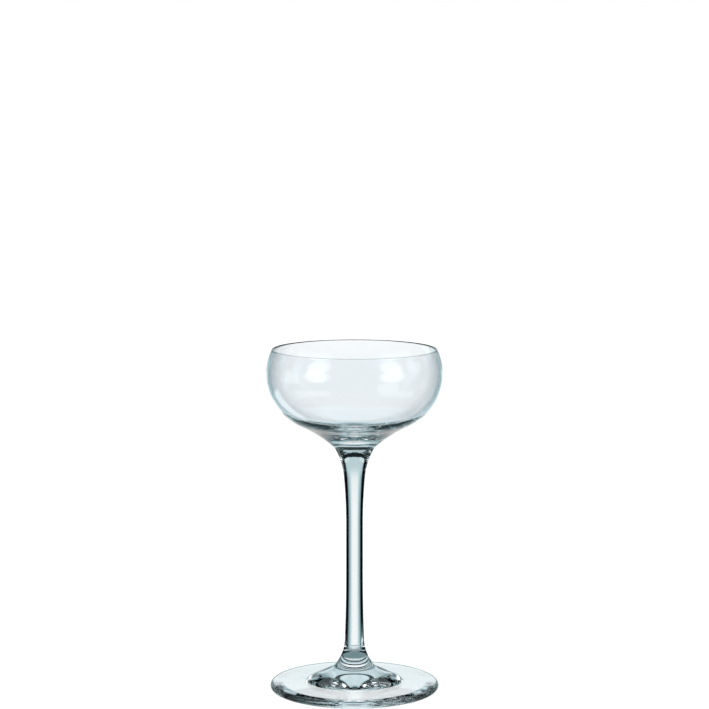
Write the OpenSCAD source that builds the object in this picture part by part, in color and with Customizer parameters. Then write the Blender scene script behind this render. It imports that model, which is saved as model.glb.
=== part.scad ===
// Liqueur glass: a blown saucer bowl, a drawn stem and a pressed foot, joined hot, face to face.
// The axis of the glass is Z, and it stands on Z = 0. Lengths are in millimetres.

/* [Bowl] */
// Height of the rim above the table
glass_height = 125; // [115:1:150]
// Outer diameter at the widest place
bowl_diameter = 63.8; // [56:0.2:74]
// How far the rim is drawn in from the widest place, on the radius
rim_inset = 1.95; // [1:0.05:4]
// Drop from the rim to the widest place
widest_drop = 8.75; // [6:0.25:12]
// Radius of the lower side, in section
side_radius = 20.8; // [16:0.2:25]
// Sweep of the lower side below the widest place, in degrees
side_sweep = 65; // [58:0.5:70]
// Radius of the hollow curve from the side in to the stem
throat_radius = 52; // [40:1:70]
// Thickness of the blown wall at the widest place
wall = 0.85; // [0.7:0.05:1.6]
// Thickness of the rim
rim_wall = 0.6; // [0.5:0.05:1.4]
// Sweep of the even wall below the widest place, in degrees
even_sweep = 40; // [25:1:50]
// Radius of the inside's turn from the side to the floor
corner_radius = 14; // [10:0.5:15]
// Slope of the floor where that turn ends, in degrees
floor_slope = 25; // [18:0.5:32]

/* [Stem] */
// Diameter of the joint between the bowl and the stem
head_diameter = 14.9; // [11:0.1:18]
// Slope of the stem's head at that joint, in degrees from upright
head_slope = 31.7; // [24:0.1:42]
// Diameter where the head ends and the upper taper starts
neck_diameter = 7.65; // [6.4:0.05:9]
// Height of the upper taper
upper_taper = 17.5; // [12:0.5:24]
// Diameter of the slim middle
waist_diameter = 6.1; // [4.6:0.02:6.6]
// Height of the lower taper
lower_taper = 25; // [18:0.5:34]
// Diameter where the lower taper ends and the flare to the foot starts
ankle_diameter = 7.08; // [6.4:0.02:8.4]

/* [Foot] */
// Drop from the ankle to the joint between the stem and the foot
foot_joint_drop = 4; // [2:0.25:6]
// Diameter of the foot
foot_diameter = 61.6; // [52:0.2:74]
// Thickness of the round edge
edge_thickness = 2.6; // [1.8:0.1:3.6]
// Slope of the foot's top, in degrees
top_slope = 4.5; // [2:0.25:6]
// Radius of the hollow flare below the ankle
flare_radius = 16; // [12:0.5:20]
// Slope where the flare ends, in degrees
flare_slope = 50; // [40:1:60]
// Radius of the turn from the flare to the boss
turn_radius = 3; // [1:0.25:6]
// Slope of the boss, in degrees
boss_slope = 25; // [18:1:36]
// Diameter of the boss where its even slope ends
boss_diameter = 32.1; // [26:0.1:40]
// Radius of the hollow curve from the boss to the foot's top
skirt_radius = 8; // [2:0.5:14]
// Width of the flat ring that the glass stands on
rest_width = 4; // [2:0.25:8]
// Slope of the hollow under the foot, in degrees
kick_slope = 4.5; // [1:0.25:6]
// Diameter of the rounded middle of that hollow
dome_diameter = 6; // [2:0.5:16]

/* [Hidden] */
// Facets round the axis, and straight steps along each arc of a section
$fn = 96;
arc_steps = 16;
glass = [0.86, 0.91, 0.92, 0.55];

// Bowl: the rim curve and the lower side meet at the widest place, level with both centres
widest_r = bowl_diameter / 2;
widest_z = glass_height - widest_drop;
lip_r = rim_wall / 2;
lip_rise = widest_drop - lip_r;
rim_radius = (lip_rise * lip_rise + rim_inset * rim_inset) / (2 * rim_inset);
rim_centre = [widest_r - rim_radius, widest_z];
lip_angle = asin(lip_rise / (rim_radius - lip_r));
lip_centre = rim_centre + (rim_radius - lip_r) * [cos(lip_angle), sin(lip_angle)];
side_centre = [widest_r - side_radius, widest_z];
side_end = side_centre + side_radius * [cos(side_sweep), -sin(side_sweep)];

// Inside: upright at the widest place like the outside, and meeting the lip without a step
lip_lean = lip_centre.x + wall - widest_r;
inner_rim_radius = (lip_lean * lip_lean + lip_rise * lip_rise - lip_r * lip_r) / (2 * (lip_r - lip_lean));
inner_rim_centre = [widest_r - wall - inner_rim_radius, widest_z];
inner_lip_angle = atan2(lip_rise, lip_lean + inner_rim_radius);

// The wall stays even down the side, then the inside turns in early to a dome about the axis
inner_side_radius = side_radius - wall;
corner_end = 90 - floor_slope;
corner_centre = side_centre
    + (inner_side_radius - corner_radius) * [cos(even_sweep), -sin(even_sweep)];
floor_centre = [0, corner_centre.y + corner_centre.x * tan(corner_end)];
floor_radius = corner_radius + corner_centre.x / cos(corner_end);

// Throat: from the end of the lower side in to the joint with the stem
throat_centre = side_end + throat_radius * [cos(side_sweep), -sin(side_sweep)];
head_r = head_diameter / 2;
throat_slope = acos((throat_centre.x - head_r) / throat_radius);
head_z = throat_centre.y + throat_radius * sin(throat_slope);

// Stem: the head and both tapers are hollow arcs, each running smoothly into the next
neck_r = neck_diameter / 2;
waist_r = waist_diameter / 2;
ankle_r = ankle_diameter / 2;
neck_slope = 2 * atan((neck_r - waist_r) / upper_taper);
ankle_slope = 2 * atan((ankle_r - waist_r) / lower_taper);
head_radius = (head_r - neck_r) / (cos(neck_slope) - cos(head_slope));
head_centre = [head_r, head_z] + head_radius * [cos(head_slope), -sin(head_slope)];
neck_z = head_centre.y + head_radius * sin(neck_slope);
upper_radius = upper_taper / sin(neck_slope);
upper_centre = [waist_r + upper_radius, neck_z - upper_taper];
lower_radius = lower_taper / sin(ankle_slope);

// Foot: the edge is a half round, and the top, the boss and the flare follow it without a step
edge_r = edge_thickness / 2;
edge_centre = [foot_diameter / 2 - edge_r, edge_r];
edge_top = edge_centre + edge_r * [sin(top_slope), cos(top_slope)];
skirt_end_r = boss_diameter / 2 + skirt_radius * (sin(boss_slope) - sin(top_slope));
skirt_end = [skirt_end_r, edge_top.y + (edge_top.x - skirt_end_r) * tan(top_slope)];
skirt_centre = skirt_end + skirt_radius * [sin(top_slope), cos(top_slope)];
boss_end = skirt_centre - skirt_radius * [sin(boss_slope), cos(boss_slope)];
flare_end_r = ankle_r + flare_radius * (cos(ankle_slope) - sin(flare_slope));
turn_end_r = flare_end_r + turn_radius * (sin(flare_slope) - sin(boss_slope));
turn_end = [turn_end_r, boss_end.y + (boss_end.x - turn_end_r) * tan(boss_slope)];
turn_centre = turn_end + turn_radius * [sin(boss_slope), cos(boss_slope)];
flare_centre = turn_centre + (flare_radius - turn_radius) * [sin(flare_slope), cos(flare_slope)];
ankle_z = flare_centre.y - flare_radius * sin(ankle_slope);
lower_centre = [waist_r + lower_radius, ankle_z + lower_taper];
foot_joint_z = ankle_z - foot_joint_drop;
foot_joint_slope = asin((flare_centre.y - foot_joint_z) / flare_radius);
rest_inner_r = edge_centre.x - rest_width;
dome_r = dome_diameter / 2;
dome_radius = dome_r / sin(kick_slope);
dome_edge_z = (rest_inner_r - dome_r) * tan(kick_slope);
dome_centre = [0, dome_edge_z - dome_radius * cos(kick_slope)];

// Points along an arc, without its first one, which the stretch before it ends on
function arc(centre, radius, from, to) = [
    for (i = [1 : arc_steps])
        let (angle = from + (to - from) * i / arc_steps)
            centre + radius * [cos(angle), sin(angle)]
];

// Half section from the middle of the floor, up the inside, over the lip and down the outside
function bowl_section() = concat(
    [[0, floor_centre.y - floor_radius]],
    arc(floor_centre, floor_radius, -90, -corner_end),
    arc(corner_centre, corner_radius, -corner_end, -even_sweep),
    arc(side_centre, inner_side_radius, -even_sweep, 0),
    arc(inner_rim_centre, inner_rim_radius, 0, inner_lip_angle),
    arc(lip_centre, lip_r, 180 + inner_lip_angle, lip_angle),
    arc(rim_centre, rim_radius, lip_angle, 0),
    arc(side_centre, side_radius, 0, -side_sweep),
    arc(throat_centre, throat_radius, 180 - side_sweep, 180 - throat_slope),
    [[0, head_z]]
);

// Half section from the joint with the foot up to the joint with the bowl
function stem_section() = concat(
    [[0, foot_joint_z], flare_centre - flare_radius * [cos(foot_joint_slope), sin(foot_joint_slope)]],
    arc(flare_centre, flare_radius, 180 + foot_joint_slope, 180 + ankle_slope),
    arc(lower_centre, lower_radius, 180 + ankle_slope, 180),
    [[waist_r, upper_centre.y]],
    arc(upper_centre, upper_radius, 180, 180 - neck_slope),
    arc(head_centre, head_radius, 180 - neck_slope, 180 - head_slope),
    [[0, head_z]]
);

// Half section from the hollow underside out round the edge and up to the joint with the stem
function foot_section() = concat(
    [[0, dome_centre.y + dome_radius]],
    arc(dome_centre, dome_radius, 90, 90 - kick_slope),
    [[rest_inner_r, 0], [edge_centre.x, 0]],
    arc(edge_centre, edge_r, -90, 90 - top_slope),
    [skirt_end],
    arc(skirt_centre, skirt_radius, 270 - top_slope, 270 - boss_slope),
    [turn_end],
    arc(turn_centre, turn_radius, 270 - boss_slope, 270 - flare_slope),
    arc(flare_centre, flare_radius, 270 - flare_slope, 180 + foot_joint_slope),
    [[0, foot_joint_z]]
);

module bowl() {
    color(glass) rotate_extrude() polygon(bowl_section());
}

module stem() {
    color(glass) rotate_extrude() polygon(stem_section());
}

module foot() {
    color(glass) rotate_extrude() polygon(foot_section());
}

bowl();
stem();
foot();
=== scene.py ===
"""A small liqueur glass: a blown bowl, a drawn stem and a pressed foot, joined hot."""

import math

import bmesh
import bpy
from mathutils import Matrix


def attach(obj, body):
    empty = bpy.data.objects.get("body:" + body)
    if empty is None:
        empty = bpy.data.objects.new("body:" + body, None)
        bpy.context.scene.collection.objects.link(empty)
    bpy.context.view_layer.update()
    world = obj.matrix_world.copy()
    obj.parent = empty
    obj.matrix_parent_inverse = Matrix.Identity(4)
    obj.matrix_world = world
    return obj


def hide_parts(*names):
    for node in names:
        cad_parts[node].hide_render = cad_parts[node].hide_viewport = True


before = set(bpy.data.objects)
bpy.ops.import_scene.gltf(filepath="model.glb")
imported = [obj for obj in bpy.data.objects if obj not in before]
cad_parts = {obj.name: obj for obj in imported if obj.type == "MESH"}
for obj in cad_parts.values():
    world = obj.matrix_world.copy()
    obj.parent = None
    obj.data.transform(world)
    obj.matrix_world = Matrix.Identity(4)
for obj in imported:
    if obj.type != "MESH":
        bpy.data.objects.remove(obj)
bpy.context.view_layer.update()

MM = 0.001
MERGE_GAP = 0.0001 * MM
JOINT_GAP = 0.001 * MM
CREASE = math.radians(20)
FULL_TURN = 2 * math.pi
DEGREES = 180 / math.pi

# Facets round the axis: the wide pieces need more of them than the slim stem.
WIDE_STEPS = 224
STEM_STEPS = 128

# Sizes of the glass in millimetres, the same as in the part's source.
glass_height = 125
bowl_diameter = 63.8
rim_inset = 1.95
widest_drop = 8.75
side_radius = 20.8
side_sweep = 65
throat_radius = 52
wall = 0.85
rim_wall = 0.6
even_sweep = 40
corner_radius = 14
floor_slope = 25
head_diameter = 14.9
head_slope = 31.7
neck_diameter = 7.65
upper_taper = 17.5
waist_diameter = 6.1
lower_taper = 25
ankle_diameter = 7.08
foot_joint_drop = 4
foot_diameter = 61.6
edge_thickness = 2.6
top_slope = 4.5
flare_radius = 16
flare_slope = 50
turn_radius = 3
boss_slope = 25
boss_diameter = 32.1
skirt_radius = 8
rest_width = 4
kick_slope = 4.5
dome_diameter = 6


def sine(degrees):
    return math.sin(math.radians(degrees))


def cosine(degrees):
    return math.cos(math.radians(degrees))


def arc_sine(value):
    return math.degrees(math.asin(value))


def arc_cosine(value):
    return math.degrees(math.acos(value))


def tangent(degrees):
    return math.tan(math.radians(degrees))


def away(point, distance, degrees):
    """The point at a distance from another, at an angle up from the radius."""
    return (point[0] + distance * cosine(degrees), point[1] + distance * sine(degrees))


# Bowl: the rim and side arcs meet at the widest ring, the throat runs on from the side.
widest_r = bowl_diameter / 2
widest_z = glass_height - widest_drop
lip_r = rim_wall / 2
lip_rise = widest_drop - lip_r
rim_radius = (lip_rise ** 2 + rim_inset ** 2) / (2 * rim_inset)
rim_centre = (widest_r - rim_radius, widest_z)
lip_angle = arc_sine(lip_rise / (rim_radius - lip_r))
lip_centre = away(rim_centre, rim_radius - lip_r, lip_angle)
side_centre = (widest_r - side_radius, widest_z)
side_end = away(side_centre, side_radius, -side_sweep)
lip_lean = lip_centre[0] + wall - widest_r
inner_rim_radius = (lip_lean ** 2 + lip_rise ** 2 - lip_r ** 2) / (2 * (lip_r - lip_lean))
inner_rim_centre = (widest_r - wall - inner_rim_radius, widest_z)
inner_lip_angle = math.degrees(math.atan2(lip_rise, lip_lean + inner_rim_radius))
corner_end = 90 - floor_slope
corner_centre = away(side_centre, side_radius - wall - corner_radius, -even_sweep)
floor_centre = (0, corner_centre[1] + corner_centre[0] * tangent(corner_end))
floor_radius = corner_radius + corner_centre[0] / cosine(corner_end)
throat_centre = away(side_end, throat_radius, -side_sweep)
head_r = head_diameter / 2
throat_slope = arc_cosine((throat_centre[0] - head_r) / throat_radius)
head_z = throat_centre[1] + throat_radius * sine(throat_slope)

# Stem: a flared head, two long tapers either side of a straight waist, and the foot's flare.
neck_r = neck_diameter / 2
waist_r = waist_diameter / 2
ankle_r = ankle_diameter / 2
neck_slope = 2 * math.degrees(math.atan((neck_r - waist_r) / upper_taper))
ankle_slope = 2 * math.degrees(math.atan((ankle_r - waist_r) / lower_taper))
head_radius = (head_r - neck_r) / (cosine(neck_slope) - cosine(head_slope))
head_centre = away((head_r, head_z), head_radius, -head_slope)
neck_z = head_centre[1] + head_radius * sine(neck_slope)
upper_radius = upper_taper / sine(neck_slope)
upper_centre = (waist_r + upper_radius, neck_z - upper_taper)
lower_radius = lower_taper / sine(ankle_slope)

# Foot: a round edge, a sloped top, a skirt up to the boss, a flare to the joint, a hollow below.
edge_r = edge_thickness / 2
edge_centre = (foot_diameter / 2 - edge_r, edge_r)
edge_top = away(edge_centre, edge_r, 90 - top_slope)
skirt_end_r = boss_diameter / 2 + skirt_radius * (sine(boss_slope) - sine(top_slope))
skirt_end = (skirt_end_r, edge_top[1] + (edge_top[0] - skirt_end_r) * tangent(top_slope))
skirt_centre = away(skirt_end, skirt_radius, 90 - top_slope)
boss_end = away(skirt_centre, skirt_radius, 270 - boss_slope)
flare_end_r = ankle_r + flare_radius * (cosine(ankle_slope) - sine(flare_slope))
turn_end_r = flare_end_r + turn_radius * (sine(flare_slope) - sine(boss_slope))
turn_end = (turn_end_r, boss_end[1] + (boss_end[0] - turn_end_r) * tangent(boss_slope))
turn_centre = away(turn_end, turn_radius, 90 - boss_slope)
flare_centre = away(turn_centre, flare_radius - turn_radius, 90 - flare_slope)
ankle_z = flare_centre[1] - flare_radius * sine(ankle_slope)
lower_centre = (waist_r + lower_radius, ankle_z + lower_taper)
foot_joint_z = ankle_z - foot_joint_drop
foot_joint_slope = arc_sine((flare_centre[1] - foot_joint_z) / flare_radius)
foot_joint_rim = away(flare_centre, flare_radius, 180 + foot_joint_slope)
rest_inner_r = edge_centre[0] - rest_width
dome_r = dome_diameter / 2
dome_radius = dome_r / sine(kick_slope)
dome_edge_z = (rest_inner_r - dome_r) * tangent(kick_slope)
dome_centre = (0, dome_edge_z - dome_radius * cosine(kick_slope))

# Rings of points this far either side of the rest's inner corner keep its shading tight.
corner_ease = 0.3


class Section:
    """Half the outline of a turned piece, drawn from axis to axis by moving one pen point."""

    def __init__(self, height):
        self.mesh = bmesh.new()
        self.pen = self.mesh.verts.new((0, 0, height * MM))

    def line(self, point):
        """Draws a straight stretch to a point."""
        end = self.mesh.verts.new((point[0] * MM, 0, point[1] * MM))
        self.mesh.edges.new((self.pen, end))
        self.pen = end

    def arc(self, centre, sweep, steps):
        """Swings the pen about a centre, upwards on the outer side for a positive sweep."""
        swung = bmesh.ops.spin(
            self.mesh,
            geom=[self.pen],
            cent=(centre[0] * MM, 0, centre[1] * MM),
            axis=(0, -1, 0),
            angle=math.radians(sweep),
            steps=steps,
        )
        self.pen = swung["geom_last"][0]

    def turn(self, name, steps, finish, joints):
        """Spins the outline round the axis and gives the piece. Joints are materials by height."""
        shell = self.mesh
        bmesh.ops.spin(
            shell,
            geom=shell.verts[:] + shell.edges[:],
            cent=(0, 0, 0),
            axis=(0, 0, 1),
            angle=FULL_TURN,
            steps=steps,
            use_merge=True,
        )
        bmesh.ops.remove_doubles(shell, verts=shell.verts[:], dist=MERGE_GAP)
        bmesh.ops.recalc_face_normals(shell, faces=shell.faces[:])
        for face in shell.faces:
            face.smooth = True
            for slot, height in enumerate(joints, start=1):
                if abs(face.calc_center_median().z - height * MM) < JOINT_GAP:
                    face.material_index = slot
        for edge in shell.edges:
            edge.smooth = edge.calc_face_angle() < CREASE
        data = bpy.data.meshes.new(name)
        shell.to_mesh(data)
        shell.free()
        for material in (finish, *joints.values()):
            data.materials.append(material)
        piece = bpy.data.objects.new(name, data)
        bpy.context.scene.collection.objects.link(piece)
        return piece


class Wire:
    """One output of a shader node. Arithmetic on wires adds Math nodes to their shader."""

    def __init__(self, shader, socket):
        self.shader = shader
        self.socket = socket

    def math(self, operation, first, second=0.0):
        return self.shader.node("ShaderNodeMath", {"operation": operation}, {0: first, 1: second})

    def __add__(self, other):
        return self.math("ADD", self, other)

    def __radd__(self, other):
        return self.math("ADD", other, self)

    def __sub__(self, other):
        return self.math("SUBTRACT", self, other)

    def __rsub__(self, other):
        return self.math("SUBTRACT", other, self)

    def __mul__(self, other):
        return self.math("MULTIPLY", self, other)

    def __rmul__(self, other):
        return self.math("MULTIPLY", other, self)

    def __truediv__(self, other):
        return self.math("DIVIDE", self, other)

    def __abs__(self):
        return self.math("ABSOLUTE", self)

    def most(self, other):
        """The larger of two values."""
        return self.math("MAXIMUM", self, other)

    def ramp(self, start, end):
        """0 up to start and 1 from end, with a soft change between them."""
        return self.shader.node(
            "ShaderNodeMapRange",
            {"interpolation_type": "SMOOTHSTEP"},
            {"Value": self, "From Min": start, "From Max": end},
        )

    def window(self, middle, half, soft):
        """1 within half of the middle, fading to 0 over the soft stretch outside it."""
        return abs(self - middle).ramp(half + soft, half)


class Shader:
    """The nodes of one material or of the world."""

    def __init__(self, owner):
        owner.use_nodes = True
        self.tree = owner.node_tree
        self.tree.nodes.clear()

    def node(self, kind, settings=None, inputs=None, output=0):
        """Adds a node, its settings first, and gives one of its outputs."""
        made = self.tree.nodes.new(kind)
        for name, value in (settings or {}).items():
            if name == "stops":
                stops = made.color_ramp.elements
                while len(stops) < len(value):
                    stops.new(0.5)
                for stop, (place, colour) in zip(stops, value):
                    stop.position = place
                    stop.color = (*colour, 1)
            else:
                setattr(made, name, value)
        for name, value in (inputs or {}).items():
            if isinstance(value, Wire):
                self.tree.links.new(value.socket, made.inputs[name])
            else:
                made.inputs[name].default_value = value
        return Wire(self, made.outputs[output]) if made.outputs else None


def blend(shader, factor, first, second):
    """A colour between two others."""
    first_input, second_input, colour_output = 6, 7, 2
    return shader.node(
        "ShaderNodeMix",
        {"data_type": "RGBA"},
        {"Factor": factor, first_input: first, second_input: second},
        output=colour_output,
    )


def clear_glass(name, tint, pool, edge, waves, swell):
    """Clear glass with a faint tint, painted edge shade, soft ripples and barely marked polish.

    The colour is tint, or pool where a ripple is high, and edge where the surface turns away.
    That deeper tint edge on is partly the glass seen through more of itself and partly painted
    shade standing in for the dark edges of the glass.
    """
    ripple_depth = 0.0002
    most_haze = 0.02
    finish = bpy.data.materials.new(name)
    shader = Shader(finish)
    place = shader.node("ShaderNodeTexCoord", output="Object")
    ripple = shader.node(
        "ShaderNodeTexNoise",
        None,
        {"Vector": place, "Scale": waves, "Detail": 1.0, "Roughness": 0.4},
    )
    film = shader.node(
        "ShaderNodeTexNoise",
        None,
        {"Vector": place, "Scale": 180.0, "Detail": 3.0, "Roughness": 0.6},
    )
    colour = blend(shader, ripple.ramp(0.35, 0.7), (*tint, 1), (*pool, 1))
    # Painted edge shade: the tint mixes over to the edge colour as the surface turns away from
    # view.
    facing = shader.node("ShaderNodeLayerWeight", None, {"Blend": 0.5}, output="Facing")
    cast_and_edge_shade = blend(shader, facing.ramp(0.3, 0.95), colour, (*edge, 1))
    relief = shader.node(
        "ShaderNodeBump",
        None,
        {"Strength": swell, "Distance": ripple_depth, "Height": ripple},
    )
    body = shader.node(
        "ShaderNodeBsdfPrincipled",
        None,
        {
            "Base Color": cast_and_edge_shade,
            "Roughness": film.ramp(0.62, 0.9) * most_haze,
            "IOR": 1.5,
            "Transmission Weight": 1.0,
            "Normal": relief,
        },
    )
    shader.node("ShaderNodeOutputMaterial", None, {"Surface": body})
    return finish


def joint_glass(name, trace):
    """A hot joint inside the glass: clear, darkened in faint streaks that fan out from the axis.
    """
    finish = bpy.data.materials.new(name)
    shader = Shader(finish)
    place = shader.node("ShaderNodeTexCoord", output="Object")
    level = shader.node(
        "ShaderNodeVectorMath",
        {"operation": "MULTIPLY"},
        {0: place, 1: (1, 1, 0)},
    )
    outward = shader.node("ShaderNodeVectorMath", {"operation": "NORMALIZE"}, {0: level})
    fan_streaks = shader.node(
        "ShaderNodeTexNoise",
        None,
        {"Vector": outward, "Scale": 7.0, "Detail": 3.0, "Roughness": 0.6},
    )
    # The joint disc is darker in streaks where the noise is high, up to the trace weight.
    clear = shader.node("ShaderNodeBsdfTransparent")
    streak_dark = shader.node(
        "ShaderNodeBsdfPrincipled",
        None,
        {"Base Color": (0.25, 0.3, 0.31, 1), "Roughness": 0.3},
    )
    body = shader.node(
        "ShaderNodeMixShader",
        None,
        {0: fan_streaks.ramp(0.25, 0.75) * trace, 1: clear, 2: streak_dark},
    )
    shader.node("ShaderNodeOutputMaterial", None, {"Surface": body})
    return finish


blown_glass = clear_glass(
    "blown_glass",
    tint=(0.955, 0.983, 1.0),
    pool=(0.95, 0.98, 0.998),
    # Painted edge shade: a deeper, bluer tint edge on.
    edge=(0.87, 0.965, 1.0),
    waves=130,
    swell=0.3,
)
drawn_glass = clear_glass(
    "drawn_glass",
    tint=(0.91, 0.945, 0.95),
    pool=(0.905, 0.942, 0.948),
    # Painted edge shade: a darker tint edge on, for the stem's dark sides.
    edge=(0.75, 0.9, 0.945),
    waves=60,
    swell=0.1,
)
pressed_glass = clear_glass(
    "pressed_glass",
    tint=(0.955, 0.985, 1.0),
    pool=(0.95, 0.982, 0.998),
    edge=(0.95, 0.982, 0.998),
    waves=120,
    swell=0.25,
)
bowl_joint = joint_glass("bowl_joint", trace=0.3)
foot_joint = joint_glass("foot_joint", trace=0.1)


def blown_bowl():
    """The saucer bowl, from the inner floor over the lip and down to the joint."""
    outline = Section(floor_centre[1] - floor_radius)
    outline.arc(floor_centre, 90 - corner_end, steps=32)
    outline.arc(corner_centre, corner_end - even_sweep, steps=20)
    outline.arc(side_centre, even_sweep, steps=28)
    outline.arc(inner_rim_centre, inner_lip_angle, steps=16)
    outline.arc(lip_centre, lip_angle - inner_lip_angle - 180, steps=14)
    outline.arc(rim_centre, -lip_angle, steps=16)
    outline.arc(side_centre, -side_sweep, steps=36)
    outline.arc(throat_centre, side_sweep - throat_slope, steps=20)
    outline.line((0, head_z))
    return outline.turn("blown_bowl", WIDE_STEPS, blown_glass, {head_z: bowl_joint})


def drawn_stem():
    """The solid stem, from the foot's joint up to the bowl's."""
    outline = Section(foot_joint_z)
    outline.line(foot_joint_rim)
    outline.arc(flare_centre, ankle_slope - foot_joint_slope, steps=8)
    outline.arc(lower_centre, -ankle_slope, steps=16)
    outline.line((waist_r, upper_centre[1]))
    outline.arc(upper_centre, -neck_slope, steps=16)
    outline.arc(head_centre, neck_slope - head_slope, steps=20)
    outline.line((0, head_z))
    joints = {foot_joint_z: foot_joint, head_z: bowl_joint}
    return outline.turn("drawn_stem", STEM_STEPS, drawn_glass, joints)


def pressed_foot():
    """The foot disc with its boss, from the hollow below round the edge to the joint."""
    outline = Section(dome_centre[1] + dome_radius)
    outline.arc(dome_centre, -kick_slope, steps=16)
    outline.line((rest_inner_r - corner_ease, corner_ease * tangent(kick_slope)))
    outline.line((rest_inner_r, 0))
    outline.line((rest_inner_r + corner_ease, 0))
    outline.line((edge_centre[0], 0))
    outline.arc(edge_centre, 180 - top_slope, steps=24)
    outline.line(skirt_end)
    outline.arc(skirt_centre, top_slope - boss_slope, steps=16)
    outline.line(turn_end)
    outline.arc(turn_centre, boss_slope - flare_slope, steps=16)
    outline.arc(flare_centre, flare_slope + foot_joint_slope - 90, steps=16)
    outline.line((0, foot_joint_z))
    return outline.turn("pressed_foot", WIDE_STEPS, pressed_glass, {foot_joint_z: foot_joint})


for make, node, slot in (
    (blown_bowl, "bowl", "blown_glass"),
    (drawn_stem, "stem", "drawn_glass"),
    (pressed_foot, "foot", "pressed_glass"),
):
    piece = make()
    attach(piece, "root")
    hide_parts(node)


def pale_floor():
    """A plain white table that keeps a faint shadow."""
    disc = bmesh.new()
    bmesh.ops.create_circle(disc, cap_ends=True, segments=96, radius=2.5)
    data = bpy.data.meshes.new("pale_floor")
    disc.to_mesh(data)
    disc.free()
    finish = bpy.data.materials.new("pale_floor")
    shader = Shader(finish)
    glow = shader.node("ShaderNodeEmission", None, {"Color": (0.9, 0.9, 0.9, 1)})
    matt = shader.node("ShaderNodeBsdfDiffuse", None, {"Color": (0.25, 0.25, 0.25, 1)})
    both = shader.node("ShaderNodeAddShader", None, {0: glow, 1: matt})
    shader.node("ShaderNodeOutputMaterial", None, {"Surface": both})
    data.materials.append(finish)
    table = bpy.data.objects.new("pale_floor", data)
    bpy.context.scene.collection.objects.link(table)
    table.visible_glossy = False
    table.visible_transmission = False


pale_floor()


def studio(world):
    """White to the camera; the glass sees a lit back wall, panels, soft boxes and dark sides.

    Places are in degrees: heading to the right of straight ahead, turned to either side of it,
    and raised above the level. Each panel is its place times its brightness, from 0 to 1.
    """
    shader = Shader(world)
    way = shader.node("ShaderNodeTexCoord", output="Generated")
    across, ahead, up = (
        shader.node("ShaderNodeSeparateXYZ", None, {0: way}, output=axis) for axis in "XYZ"
    )
    heading = across.math("ARCTAN2", across, ahead) * DEGREES
    turned = abs(heading)
    raised = up.math("ARCSINE", up) * DEGREES
    upper = raised.ramp(-10, 9)
    fall = turned.ramp(6.7, 28) * (1 - upper) * 0.58 + upper * 0.33
    wall_place = turned.ramp(36, 26) * raised.ramp(21, 20) * raised.ramp(-58, -34)
    back_wall = (1 - fall) * wall_place
    upper_strip = turned.window(22.5, 8, 3) * raised.window(18, 3, 1.5) * 0.8
    high_panel = turned.ramp(38, 28) * raised.ramp(33, 36) * raised.ramp(63, 59) * 0.75
    ground = raised.ramp(-44, -52) * 0.26
    side_table = turned.window(118, 24, 8) * raised.window(-26, 3, 5) * 0.7
    side_wall = turned.window(96, 3, 8) * raised.window(14, 15, 5) * 0.43
    side_strip = turned.window(64.5, 2, 6) * raised.window(13.5, 3, 4) * 0.42
    left_corner = heading.window(-45, 8, 4) * raised.window(-33, 14, 4) * 0.9
    left_window = heading.window(-90, 10, 5) * raised.window(-3, 6, 3) * 0.9
    rear_window = heading.window(135, 12, 6) * raised.window(-15, 6, 4) * 0.9
    shown = back_wall
    for panel in (
        upper_strip,
        high_panel,
        ground,
        side_table,
        side_wall,
        side_strip,
        left_corner,
        left_window,
        rear_window,
    ):
        shown = shown.most(panel)
    # Colour by brightness: the half tones lean to blue-green.
    tones = [
        (0, (0.001, 0.002, 0.003)),
        (0.4, (0.265, 0.4, 0.43)),
        (0.8, (0.68, 0.8, 0.825)),
        (1, (1, 1, 1)),
    ]
    tone = shader.node("ShaderNodeValToRGB", {"stops": tones}, {"Fac": shown})
    panel_strength = 1.06
    box_strength = 3.0
    # A soft oval box behind the viewer on each side.
    aside = (turned - 129) / 22
    above = (raised - 4.5) / 14
    box = (aside * aside + above * above).ramp(1, 0.1) * box_strength
    lamp = shader.node("ShaderNodeBackground", None, {"Strength": box})
    wall_light = shader.node(
        "ShaderNodeBackground",
        None,
        {"Color": tone, "Strength": panel_strength},
    )
    seen = shader.node("ShaderNodeAddShader", None, {0: lamp, 1: wall_light})
    white = shader.node("ShaderNodeBackground", None, {"Color": (1, 1, 1, 1)})
    soft = shader.node("ShaderNodeBackground", None, {"Color": (0.6, 0.6, 0.6, 1)})
    camera = shader.node("ShaderNodeLightPath", output="Is Camera Ray")
    glossy = shader.node("ShaderNodeLightPath", output="Is Glossy Ray")
    through = shader.node("ShaderNodeLightPath", output="Is Transmission Ray")
    by_glass = glossy.most(through)
    in_glass = shader.node("ShaderNodeMixShader", None, {0: by_glass, 1: soft, 2: seen})
    final = shader.node("ShaderNodeMixShader", None, {0: camera, 1: in_glass, 2: white})
    shader.node("ShaderNodeOutputWorld", None, {"Surface": final})


scene = bpy.context.scene
scene.world = bpy.data.worlds.new("studio")
studio(scene.world)

lamp_data = bpy.data.lights.new("key_lamp", "AREA")
lamp_data.size = 0.6
lamp_data.energy = 4
key_lamp = bpy.data.objects.new("key_lamp", lamp_data)
key_lamp.location = (-0.35, -0.25, 0.9)
key_lamp.rotation_euler = (math.radians(-15.5), math.radians(-21), 0)
key_lamp.visible_glossy = False
key_lamp.visible_transmission = False
scene.collection.objects.link(key_lamp)

lens_data = bpy.data.cameras.new("photo_camera")
lens_data.sensor_width = 36
lens_data.lens = 128.69
camera_distance = 0.90727
camera_height = 0.23444
camera_dip = 7.0024
photo_camera = bpy.data.objects.new("photo_camera", lens_data)
photo_camera.location = (0, -camera_distance, camera_height)
photo_camera.rotation_euler = (math.radians(90 - camera_dip), 0, 0)
scene.collection.objects.link(photo_camera)
scene.camera = photo_camera

scene.cycles.max_bounces = 40
scene.cycles.transmission_bounces = 40
scene.cycles.glossy_bounces = 32
scene.cycles.transparent_max_bounces = 32
scene.view_settings.view_transform = "Standard"
